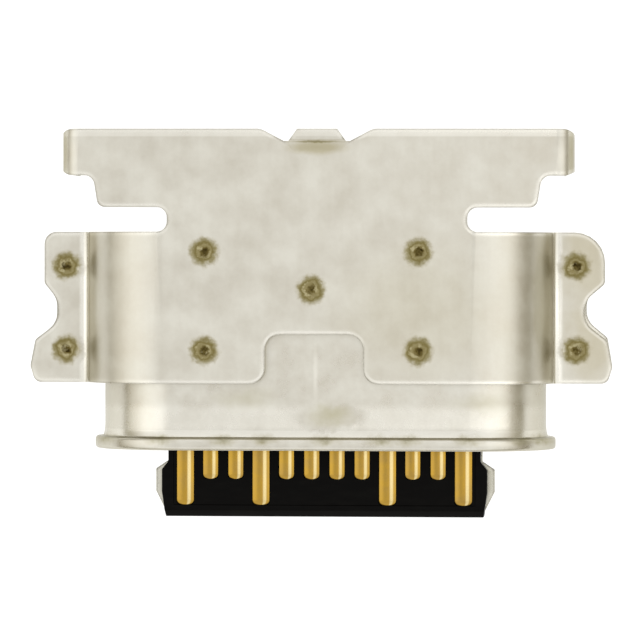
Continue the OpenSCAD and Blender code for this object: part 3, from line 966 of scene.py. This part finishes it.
@dataclass
class ContactRow:
    """Twelve stamped and gilt contacts: crowned blades on the tongue, tails on the board.

    The routes are the corners of the middle line in Y and Z, between the blade's front and the tail's end.
    """

    row: Row
    pitch: float = 0.5
    tail_pitch: float = 0.4
    count: int = 12
    power: tuple[int, ...] = (0, 3, 8, 11)
    power_width: float = 0.36
    signal_width: float = 0.32
    tail_width: float = 0.2
    thick: float = 0.12
    late: float = 0.51
    jog: Point = (2.95, 3.75)
    tip: float = 0.1
    crown: float = 0.03
    crown_power: float = 2.4
    shoulder: float = 0.012
    corner: float = 0.02
    bend: float = 0.06
    level: float = 0.31
    foot: float = 0.16
    upper_route: tuple[Point, ...] = ((3.9, 0.31), (4.2, 0.56), (5.44, 0.56), (5.6, 0.16))
    lower_route: tuple[Point, ...] = ((4.46, -0.31), (4.76, 0.16))
    play: Point3 = (0.006, 0.0, 0.003)

    def nodes(self) -> list[str]:
        """Lists the frame nodes of the row."""
        return [f"contact_{self.row.value}{i + 1:02d}" for i in range(self.count)]

    def path(self, front: float, rear: float) -> list[Point]:
        """Gives the middle line of the strip in Y and Z, with points close together along the bends.

        Args:
            front: Where the strip starts.
            rear: Where its tail ends.

        Returns:
            The line's points.
        """
        upper = self.row is Row.UPPER
        level, route = (self.level, self.upper_route) if upper else (-self.level, self.lower_route)
        corners = [(front, level), *route, (rear, self.foot)]
        line = [(front + self.tip * (1 - math.cos(math.radians(a))), level) for a in range(0, 91, 15)]
        for y, steps in zip(self.jog, (12, 6)):
            line += split(line[-1], (y, level), steps) + [(y, level)]
        for before, at, after in zip(corners, corners[1:], corners[2:]):
            line += self._bent(before, at, after)
        return line + [corners[-1]]

    def _bent(self, before: Point, at: Point, after: Point) -> list[Point]:
        """Gives a rounded corner of the middle line."""
        b, a, c = (Vector(p) for p in (at, before, after))
        start, end = b + (a - b).normalized() * self.bend, b + (c - b).normalized() * self.bend
        made = [start.lerp(b, t).lerp(b.lerp(end, t), t) for t in (0, 0.25, 0.5, 0.75, 1)]
        return [(p.x, p.y) for p in made]

    def section(self) -> list[Point]:
        """Gives the strip's section, one wide: crowned on its bearing side and rounded at the corners.

        Returns:
            The section's points, across the strip and up.
        """
        up = 1 if self.row is Row.UPPER else -1
        half, edge = self.thick / 2, 0.5 - self.corner
        top = [(-0.48 + 0.06 * i, half - self.crown * abs(-0.96 + 0.12 * i) ** self.crown_power) for i in range(17)]
        low, high = -half + self.corner, half - self.crown - self.shoulder
        points = [(-0.5, low), (-0.5, high), *top, (0.5, high), (0.5, low), (edge, -half), (-edge, -half)]
        return [(x, up * z) for x, z in points]

    def strip(self, name: str, width: float, line: list[Point]) -> Object:
        """Makes the helper of one contact: its section along its line, drawn in at the tip and at the tail.

        Args:
            name: The helper's name.
            width: The blade's width.
            line: Its middle line.

        Returns:
            The helper object.
        """
        bm = bmesh.new()
        side = bm.verts.layers.float.new("across")
        loops = []
        for i, (y, z) in enumerate(line):
            before, after = Vector(line[max(i - 1, 0)]), Vector(line[min(i + 1, len(line) - 1)])
            way = (after - before).normalized()
            rounding = max(0.0, 1 - (y - line[0][0]) / self.tip)
            narrow = min(1.0, max(0.0, (y - self.jog[0]) / (self.jog[1] - self.jog[0])))
            span = width + (self.tail_width - width) * narrow - 2 * self.tip * (1 - math.sqrt(1 - rounding**2))
            loop = []
            for across, up in self.section():
                vert = bm.verts.new((across * span, y - way.y * up, z + way.x * up * (1 - 0.3 * rounding**2)))
                vert[side] = across + 0.5
                loop.append(vert)
            loops.append(loop)
        around = len(loops[0])
        for near, far in zip(loops, loops[1:]):
            for k in range(around):
                bm.faces.new((near[k], near[(k + 1) % around], far[(k + 1) % around], far[k]))
        bm.faces.new(loops[0])
        bm.faces.new(loops[-1])
        bmesh.ops.recalc_face_normals(bm, faces=bm.faces)
        return new_object(name, to_mesh(name, bm))

    def places(self, name: str, chosen: Iterable[int]) -> Object:
        """Makes a helper with a point at the middle of each chosen contact."""
        return point_cloud(name, [((i - (self.count - 1) / 2) * self.pitch, 0.0, 0.0) for i in chosen])

    def tree(self) -> Tree:
        """Builds the tree that repeats the two strips and draws their tails together to their own pitch.

        Returns:
            The geometry tree.
        """
        tree, size = new_tree(
            "contact_row", Object=("Power Strip", "Power Places", "Signal Strip", "Signal Places"),
            Float=("Jog Front", "Jog Rear", "Closing"), Vector=["Play"], Int=["Seed"],
        )
        least = add_node(tree, "ShaderNodeVectorMath", {0: size["Play"], "Scale": -1.0}, operation="SCALE")
        both = add_node(tree, "GeometryNodeJoinGeometry")
        for kind in ("Power", "Signal"):
            strip, places = (
                add_node(tree, "GeometryNodeObjectInfo", {"Object": size[f"{kind} {part}"]}).outputs["Geometry"]
                for part in ("Strip", "Places")
            )
            at = add_node(tree, "ShaderNodeSeparateXYZ", {0: add_node(tree, "GeometryNodeInputPosition")})
            marked = add_node(
                tree, "GeometryNodeStoreNamedAttribute",
                {"Geometry": places, "Name": "centre", "Value": at.outputs["X"]}, data_type="FLOAT", domain="POINT",
            )
            play = add_node(
                tree, "FunctionNodeRandomValue", {0: least, 1: size["Play"], "Seed": size["Seed"]},
                data_type="FLOAT_VECTOR",
            )
            loose = moved(tree, marked, play.outputs["Value"])
            row = add_node(tree, "GeometryNodeInstanceOnPoints", {"Points": loose, "Instance": strip})
            tree.links.new(row.outputs[0], both.inputs[0])
        real = add_node(tree, "GeometryNodeRealizeInstances", {"Geometry": both})
        where = add_node(tree, "ShaderNodeSeparateXYZ", {0: add_node(tree, "GeometryNodeInputPosition")})
        share = add_node(
            tree, "ShaderNodeMapRange",
            {"Value": where.outputs["Y"], FROM: (size["Jog Front"], size["Jog Rear"]), TO: (0.0, size["Closing"])},
        )
        centre = add_node(tree, "GeometryNodeInputNamedAttribute", {"Name": "centre"}, data_type="FLOAT")
        aside = add_node(tree, "ShaderNodeCombineXYZ", {"X": centre.outputs["Attribute"]})
        return end_tree(tree, moved(tree, real, aside, share), size["Material"])

    def build(self, material: Material) -> Object:
        """Makes the row in the place of its frame nodes.

        Args:
            material: Its finish.

        Returns:
            The piece.
        """
        low, high = node_box(self.nodes()[0])
        signals = [i for i in range(self.count) if i not in self.power]
        mesh = grow(self.tree(), {
            "Power Strip": self.strip("power_strip", self.power_width, self.path(low.y, high.y)),
            "Signal Strip": self.strip("signal_strip", self.signal_width, self.path(low.y + self.late, high.y)),
            "Power Places": self.places("power_places", self.power),
            "Signal Places": self.places("signal_places", signals),
            "Jog Front": self.jog[0], "Jog Rear": self.jog[1], "Closing": self.tail_pitch / self.pitch - 1,
            "Play": self.play, "Seed": 7, "Material": material,
        })
        return finish_piece(f"contact_row_{self.row.value}", mesh, material, self.nodes())


@dataclass
class Stamping:
    """A piece whose form comes from its frame node, with its edges rounded as its making leaves them."""

    name: str
    node: str
    slot: Slot
    radius: float
    segments: int
    clear_of: tuple[Point3, ...] = ()
    clearance: float = 0.31

    def keep(self, middle: Vector) -> bool:
        """Tells whether an edge lies at a weld spot, where it stays as it is."""
        return any((middle - Vector(spot)).length < self.clearance for spot in self.clear_of)

    def shape(self, bm: BMesh) -> None:
        """Changes the form before its edges are rounded."""

    def build(self, material: Material) -> Object:
        """Makes the piece in the place of its frame node, with its flat faces flat beside a rounding.

        Args:
            material: Its finish.

        Returns:
            The piece.
        """
        bm = merged_copy(self.node)
        self.shape(bm)
        round_edges(bm, self.radius, self.segments, self.keep)
        piece = finish_piece(self.name, smooth_mesh(bm), material, [self.node])
        modifier = piece.modifiers.new("weighted_normals", "WEIGHTED_NORMAL")
        modifier.keep_sharp = True
        modifier.weight = 100
        return piece


@dataclass
class TopCover(Stamping):
    """The folded cover, whose locking tab is pressed down in a shallow dish rather than in a step."""

    sheet: float = 0.2
    tab_x: float = 0.66
    tab_bend: float = 5.82
    tab_foot: float = 6.04
    tab_base: float = 1.2
    tab_drop: float = 0.18
    kept: float = 0.35
    wing_fold: float = 4.72
    wing_x: float = 5.0
    wing_y: float = 5.825
    wing_start: float = 5.0
    wing_corner: float = 0.09

    def shape(self, bm: BMesh) -> None:
        """Lifts the tab to a share of its drop, and narrows the wings where they turn down.

        Args:
            bm: The cover in millimetres, which is changed.
        """
        for vert in bm.verts:
            x, y, z = vert.co
            out = abs(x - SHEET_SHIFT)
            on_sheet = min(abs(z - COVER_TOP), abs(z - COVER_TOP + self.sheet)) < 0.01
            if out < self.tab_x and y > self.tab_bend and z > self.tab_base and not on_sheet:
                gone = min(1.0, (y - self.tab_bend) / (self.tab_foot - self.tab_bend))
                vert.co.z += self.tab_drop * gone * (1 - self.kept)
            if out > self.wing_fold and y > self.wing_start:
                share = min(1.0, (out - self.wing_fold) / (self.wing_x - self.wing_fold)) ** 3
                vert.co.y += math.copysign(self.wing_corner * share, self.wing_y - y)


@dataclass
class WeldSpots:
    """Laser weld spots: a molten ring round an off-centre pit, flush with the sheet at its edge."""

    name: str
    places: tuple[Point3, ...]
    slot: Slot
    tilt: float = 0.0
    pit: Point = (0.03, 0.015)
    rings: tuple[Point, ...] = (
        (0.02, -0.05), (0.045, -0.044), (0.065, -0.03), (0.085, -0.018), (0.11, -0.011), (0.14, -0.007),
        (0.17, -0.005), (0.195, -0.0045), (0.215, -0.004), (0.235, -0.0035), (0.25, -0.0025), (0.262, -0.0015),
        (0.275, -0.0006),
    )
    centred: float = 0.2
    still: float = 0.262
    ripple: float = 0.05
    tip: float = 0.002
    foot: Point = (0.25, -0.045)
    base: float = -0.07
    around: int = 40
    wobble: float = 0.016

    def bead(self) -> Object:
        """Makes the helper of one spot: a closed lens of rings with a shallow underside.

        Returns:
            The helper object.
        """
        bm = bmesh.new()
        loose = bm.verts.layers.float.new("loose")
        angles = [2 * math.pi * i / self.around for i in range(self.around)]
        loops = []
        for radius, height in self.rings:
            x, y = (c * max(0.0, 1 - radius / self.centred) for c in self.pit)
            loop = [bm.verts.new((x + radius * math.cos(a), y + radius * math.sin(a), height)) for a in angles]
            for vert in loop:
                vert[loose] = min(1.0, max(0.0, (self.still - radius) / self.ripple))
            loops.append(loop)
        foot, depth = self.foot
        loops.append([bm.verts.new((foot * math.cos(a), foot * math.sin(a), depth)) for a in angles])
        top = bm.verts.new((*self.pit, self.rings[0][1] - self.tip))
        base = bm.verts.new((0.0, 0.0, self.base))
        for i in range(self.around):
            j = (i + 1) % self.around
            bm.faces.new((top, loops[0][i], loops[0][j]))
            bm.faces.new((base, loops[-1][j], loops[-1][i]))
            for inner, outer in zip(loops, loops[1:]):
                bm.faces.new((inner[i], outer[i], outer[j], inner[j]))
        return new_object("bead", to_mesh("bead", bm))

    def tree(self) -> Tree:
        """Builds the tree that puts a bead at each place, turned its own way, and ripples it.

        Returns:
            The geometry tree.
        """
        tree, size = new_tree("weld_spots", Object=("Bead", "Places"), Float=("Tilt", "Wobble"), Int=["Seed"])
        bead, places = (
            add_node(tree, "GeometryNodeObjectInfo", {"Object": size[name]}).outputs["Geometry"]
            for name in ("Bead", "Places")
        )
        spin = add_node(
            tree, "FunctionNodeRandomValue", {2: 0.0, 3: 2 * math.pi, "Seed": size["Seed"]}, data_type="FLOAT"
        )
        turn = add_node(tree, "ShaderNodeCombineXYZ", {"X": size["Tilt"], "Z": spin.outputs["Value"]})
        put = add_node(
            tree, "GeometryNodeInstanceOnPoints", {"Points": places, "Instance": bead, "Rotation": turn}
        )
        real = add_node(tree, "GeometryNodeRealizeInstances", {"Geometry": put})
        place = add_node(tree, "GeometryNodeInputPosition")
        ripple = add_node(
            tree, "ShaderNodeTexNoise", {"Vector": place, "W": size["Seed"], "Scale": 9.0, "Detail": 2.0},
            noise_dimensions="4D",
        )
        sunk = add_node(tree, "ShaderNodeMapRange", {"Value": ripple, FROM: (0.3, 0.65), TO: (-1.0, 0.0)})
        loose = add_node(tree, "GeometryNodeInputNamedAttribute", {"Name": "loose"}, data_type="FLOAT")
        outward = add_node(tree, "GeometryNodeInputNormal")
        rough = moved(tree, real, outward, sunk, loose.outputs["Attribute"], size["Wobble"])
        return end_tree(tree, rough, size["Material"])

    def build(self, material: Material) -> Object:
        """Makes the spots.

        Args:
            material: The finish of their sheet, which carries their marks.

        Returns:
            The piece.
        """
        mesh = grow(self.tree(), {
            "Bead": self.bead(), "Places": point_cloud("weld_places", self.places), "Tilt": self.tilt,
            "Wobble": self.wobble, "Seed": 3, "Material": material,
        })
        return finish_piece(self.name, mesh, material)


# ---------------------------------------------------------------- studio


@dataclass
class Studio:
    """Plain pale floor, soft light from all around and a long lens from above.

    The sky is given by height, strength and colour. Each strip is a soft light: its name, where it stands, its
    width and height, and how bright its face is, where 1 is white.
    """

    floor_size: float = 400.0
    floor_colour: str = "#8C8C8A"
    floor_roughness: float = 0.9
    floor_glow: float = 0.97
    target: Point3 = (0.0, 2.5, 0.0)
    camera_place: Point3 = (6.425, 3.82, 100.0)
    camera_turn: Point3 = (-0.73, 3.74, 0.1)
    camera_range: Point = (0.005, 2.0)
    lens: float = 284.5
    sky: tuple[tuple[float, float, str], ...] = (
        (0.00, 0.50, "#D8CFB0"), (0.17, 0.58, "#DCD4BA"), (0.34, 0.78, "#ECE6D6"), (0.50, 1.02, "#FAF7F0"),
        (0.70, 1.18, "#FFFFFC"), (0.86, 1.16, WHITE), (0.95, 1.03, WHITE), (1.00, 0.97, WHITE),
    )
    strips: tuple[tuple[str, Point3, Point, float], ...] = (
        ("right_strip", (52.0, 2.5, 90.0), (20.0, 130.0), 0.8),
        ("left_strip", (-80.0, 2.5, 67.0), (40.0, 130.0), 0.5),
    )

    def world(self) -> None:
        """Sets a sky that is bright above and dark near the horizon, behind a plain pale backdrop."""
        world = bpy.data.worlds.new("studio")
        bpy.context.scene.world = world
        world.use_nodes = True
        tree = world.node_tree
        tree.nodes.clear()
        ray = add_node(tree, "ShaderNodeTexCoord").outputs["Generated"]
        height = add_node(tree, "ShaderNodeSeparateXYZ", {0: ray}).outputs["Z"]
        ramp = add_node(tree, "ShaderNodeValToRGB", {"Fac": height})
        fill_ramp(ramp, [
            (position, tuple(c * strength for c in linear(code)[:3]) + (1.0,)) for position, strength, code in self.sky
        ])
        sky = add_node(tree, "ShaderNodeBackground", {"Color": ramp})
        plain = add_node(tree, "ShaderNodeBackground", {"Color": linear(WHITE)})
        seen = add_node(tree, "ShaderNodeLightPath").outputs["Is Camera Ray"]
        both = add_node(tree, "ShaderNodeMixShader", {0: seen, 1: sky, 2: plain})
        add_node(tree, "ShaderNodeOutputWorld", {"Surface": both})

    def light(self) -> None:
        """Adds the soft strips, which look at the socket."""
        for name, place, size, radiance in self.strips:
            data = bpy.data.lights.new(name, "AREA")
            data.shape = "RECTANGLE"
            data.size, data.size_y = size[0] * MM, size[1] * MM
            data.energy = radiance * math.pi * data.size * data.size_y
            light = new_object(name, data)
            light.location = Vector(place) * MM
            light.rotation_euler = (Vector(self.target) - Vector(place)).to_track_quat("-Z", "Y").to_euler()
            light.visible_camera = False

    def floor(self, level: float) -> None:
        """Lays the floor: matt white card, which stays almost as pale as the backdrop.

        Args:
            level: Its height in millimetres.
        """
        half = self.floor_size / 2 * MM
        mesh = bpy.data.meshes.new("floor")
        corners = [(-half, -half), (half, -half), (half, half), (-half, half)]
        mesh.from_pydata([(x, y, level * MM) for x, y in corners], [], [(0, 1, 2, 3)])
        material = bpy.data.materials.new("matt_white_card")
        material.use_nodes = True
        shader = material.node_tree.nodes["Principled BSDF"]
        for socket, value in {
            "Base Color": linear(self.floor_colour), "Roughness": self.floor_roughness, "Specular IOR Level": 0.0,
            "Emission Color": linear(WHITE), "Emission Strength": self.floor_glow,
        }.items():
            shader.inputs[socket].default_value = value
        mesh.materials.append(material)
        new_object("floor", mesh)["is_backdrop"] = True

    def camera(self) -> None:
        """Sets the camera."""
        data = bpy.data.cameras.new("camera")
        data.lens = self.lens
        data.clip_start, data.clip_end = self.camera_range
        camera = new_object("camera", data)
        camera.location = Vector(self.camera_place) * MM
        camera.rotation_euler = tuple(math.radians(a) for a in self.camera_turn)
        bpy.context.scene.camera = camera

    def build(self, level: float) -> None:
        """Sets up everything but the socket.

        Args:
            level: Height of the floor in millimetres.
        """
        bpy.context.scene.view_settings.view_transform = "Standard"
        self.world()
        self.floor(level)
        self.light()
        self.camera()


# ---------------------------------------------------------------- the socket


SPOT_SHIFT = SHEET_SHIFT - 0.11
BAND_SPOTS = tuple((x, y) for x in (-2.09, 2.09) for y in (1.95, 3.88))
COVER_SPOTS = (*((SPOT_SHIFT + x, y, COVER_TOP) for x, y in BAND_SPOTS), (SPOT_SHIFT, 3.14, COVER_TOP))
EAR_SPOTS = tuple((SHEET_SHIFT + x, y, 0.5) for x in (-5.04, 5.04) for y in (1.95, 3.6))
BRACKET_SPOTS = tuple((SHEET_SHIFT + x, y, -COVER_TOP) for x, y in BAND_SPOTS)
TOP_SPOTS = COVER_SPOTS + EAR_SPOTS
ALONG = (0.0, 1.0, 0.0)


def cover_finish() -> NickelledSteel:
    """Gives the cover's finish: a warm patch, a darker right ear, painted shade on its right wall, in its wing bends
    and in the pressed tab's dish and crease, weld marks, and painted highlights along the ear folds and the rear rim.

    Returns:
        The finish.
    """
    warmth = ToneAndLightPatch(
        ((1.9, 2.7, 0.0),), warp=0.5, grit=1.0, scale=(0.8, 0.9, 0.0),
        bands=((0.0, "#AFA683", 0.22), (0.7, "#AFA683", 0.18), (1.6, FADED, 0.0)),
    )
    # Darker over the right ear.
    darker_right_ear = ToneAndLightPatch(
        ((5.2, 3.7, 0.0), (5.3, 2.2, 0.0)), warp=0.3, grit=0.5, scale=(1.0, 0.6, 0.0),
        bands=((0.0, "#B3A98A", 0.5), (0.3, "#B3A98A", 0.42), (0.7, FADED, 0.0)),
    )
    # Painted shade on the cover's right wall, between the shoulder and the ear fold.
    wall = ToneAndLightPatch(
        ((SHEET_SHIFT + 4.38, 2.9, 0.0),), warp=0.1, grit=0.4, scale=(1.0, 0.14, 0.0),
        bands=((0.0, "#8C8256", 0.4), (0.13, "#8C8256", 0.3), (0.24, "#A69D80", 0.0)),
    )
    # Painted shade on the wing bends at each end of the rear bar.
    bend = ToneAndLightPatch(
        tuple((SHEET_SHIFT + x, 5.83, 1.5) for x in (-4.97, 4.97)), warp=0.03, grit=0.3, scale=(1.0, 0.15, 0.5),
        bands=((0.0, "#9C9468", 0.5), (0.06, "#A39B72", 0.35), (0.14, FADED, 0.0)),
    )
    # Painted shade over the pressed tab's sloping dish.
    dent = ToneAndLightPatch(
        ((SHEET_SHIFT, 5.91, 0.0),), warp=0.05, grit=0.3, scale=(0.24, 1.0, 0.0), over_rims=True,
        bands=((0.0, "#A39A76", 0.7), (0.08, "#A89F7C", 0.6), (0.17, FADED, 0.0)),
    )
    # Painted shade line along the crease at the foot of the pressed tab.
    tab_crease_shade = ToneAndLightPatch(
        ((SHEET_SHIFT, 6.03, 0.0),), warp=0.03, grit=0.12, scale=(0.05, 1.0, 0.0), over_rims=True,
        bands=((0.0, "#7D7550", 0.9), (0.015, "#8A8260", 0.7), (0.035, FADED, 0.0)),
    )
    # Painted highlights along the ear folds, and along the rear rim.
    fold_highlights = (HighlightLine((SHEET_SHIFT + x, 0.0, 0.53), (1.0, 0.0, 1.0), 0.14) for x in (-4.66, 4.66))
    return NickelledSteel(
        "nickelled_steel_stamped", marks=(warmth, darker_right_ear, wall, bend, Marks(TOP_SPOTS), dent, tab_crease_shade),
        lines=(*fold_highlights, HighlightLine((0.0, 6.2, 0.0), ALONG, 0.09, 0.45)),
    )


def shell_finish() -> NickelledSteel:
    """Gives the shell's finish: a painted dark reflection on its top, faint darker patches, painted shade along the
    crease at the flange, a painted highlight along a ridge, painted highlights on the tube behind the flange, and
    painted rim light.

    Returns:
        The finish.
    """
    # Painted reflection: a darker patch on the tube's top, behind the flange.
    dark_reflection = ToneAndLightPatch(
        ((0.2, 0.68, 0.0),), warp=0.2, grit=0.3, scale=(0.45, 1.0, 0.0), over_rims=True,
        bands=((0.0, "#A8A27E", 0.55), (0.1, "#A8A27E", 0.4), (0.26, "#B0AA8C", 0.0)),
    )
    faint = ToneAndLightPatch(
        ((-1.5, 1.0, 0.0), (3.1, 0.9, 0.0)), warp=0.2, grit=0.3, scale=(0.4, 1.0, 0.0),
        bands=((0.0, "#A8A27E", 0.28), (0.1, "#A8A27E", 0.2), (0.3, "#B0AA8C", 0.0)),
    )
    # Painted shade, broken into patches along the crease at the flange.
    flange_crease_shade = ToneAndLightPatch(
        tuple((x, 0.21, 0.0) for x in (-4.3, -3.1, -1.9, -1.1, 0.1, 1.2, 1.7, 2.9, 3.95, 4.3)), warp=0.12,
        grit=0.15, scale=(0.35, 1.0, 0.0),
        bands=((0.0, "#857E58", 0.75), (0.05, "#9A936F", 0.5), (0.14, FADED, 0.0)),
    )
    # Painted highlight along a ridge on the tube's top.
    ridge = ToneAndLightPatch(
        ((-0.1, 1.5, 0.0),), warp=0.03, grit=0.3, scale=(1.0, 0.1, 0.0),
        bands=((0.0, PAINTED_HIGHLIGHT, 0.5), (0.03, PAINTED_HIGHLIGHT, 0.3), (0.07, "#D6D2C6", 0.0)),
    )
    return NickelledSteel(
        "nickelled_steel_drawn", roughness=0.3, cloud=0.5, rollover=0.12, marks=(dark_reflection, faint, flange_crease_shade, ridge),
        # Painted highlights on the tube: a narrow band just behind the flange and a broad one behind it.
        lines=(HighlightLine((0.0, 0.33, 0.0), ALONG, 0.09, 0.7), HighlightLine((0.0, 0.55, 0.0), ALONG, 0.4, 0.4)),
    )


def dress_metal() -> None:
    """Builds the shell, the cover, the bracket and the plate, and their weld spots."""
    cover = cover_finish()
    bracket = NickelledSteel("nickelled_steel_bracket", shade="#B5AC95", marks=(Marks(BRACKET_SPOTS),))
    plate = NickelledSteel(
        "bright_steel_blanked", face="#C6C3B6", shade="#A9A594", roughness=0.28, rim_highlight=0.3
    ).build()
    FrontShell().build(shell_finish().build())
    TopCover("top_cover_stamped", "top_cover", Slot.COVER, 0.065, 3, TOP_SPOTS).build(cover.build())
    Stamping("lower_bracket_stamped", "lower_bracket", Slot.BRACKET, 0.05, 3, BRACKET_SPOTS).build(bracket.build())
    Stamping("mid_plate_blanked", "mid_plate", Slot.PLATE, 0.012, 2).build(plate)
    for node in ("upper_ground_collar", "lower_ground_collar"):
        Stamping(f"{node}_stamped", node, Slot.PLATE, 0.015, 2).build(plate)
    melted = replace(cover, name="laser_melted_steel", rollover=0.0).build()
    WeldSpots("cover_weld_spots", TOP_SPOTS, Slot.COVER).build(melted)
    melted = replace(bracket, name="laser_melted_bracket", rollover=0.0).build()
    WeldSpots("bracket_weld_spots", BRACKET_SPOTS, Slot.BRACKET, tilt=math.pi).build(melted)


def dress_plastic() -> None:
    """Builds the tongue's overmould and the housings."""
    tongue = BlackMoulding("lcp_overmoulded").build()
    housing = BlackMoulding("lcp_injection_moulded", roughness=0.45).build()
    Stamping("tongue_moulded", "tongue_overmould", Slot.HOUSING, 0.02, 3).build(tongue)
    for node in ("upper_housing", "lower_housing"):
        Stamping(f"{node}_moulded", node, Slot.HOUSING, 0.03, 2).build(housing)


def dress_contacts() -> None:
    """Builds both rows of contacts."""
    gold = GiltContact().build()
    for row in Row:
        ContactRow(row).build(gold)


def main() -> None:
    """Builds the socket and its studio, with the floor laid under the frame's lowest point."""
    logging.basicConfig(level=logging.INFO, format="%(name)s: %(message)s")
    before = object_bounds()
    Studio().build(before[0].z / MM - FLOOR_GAP)
    dress_metal()
    dress_plastic()
    dress_contacts()


if __name__ == "__main__":
    main()
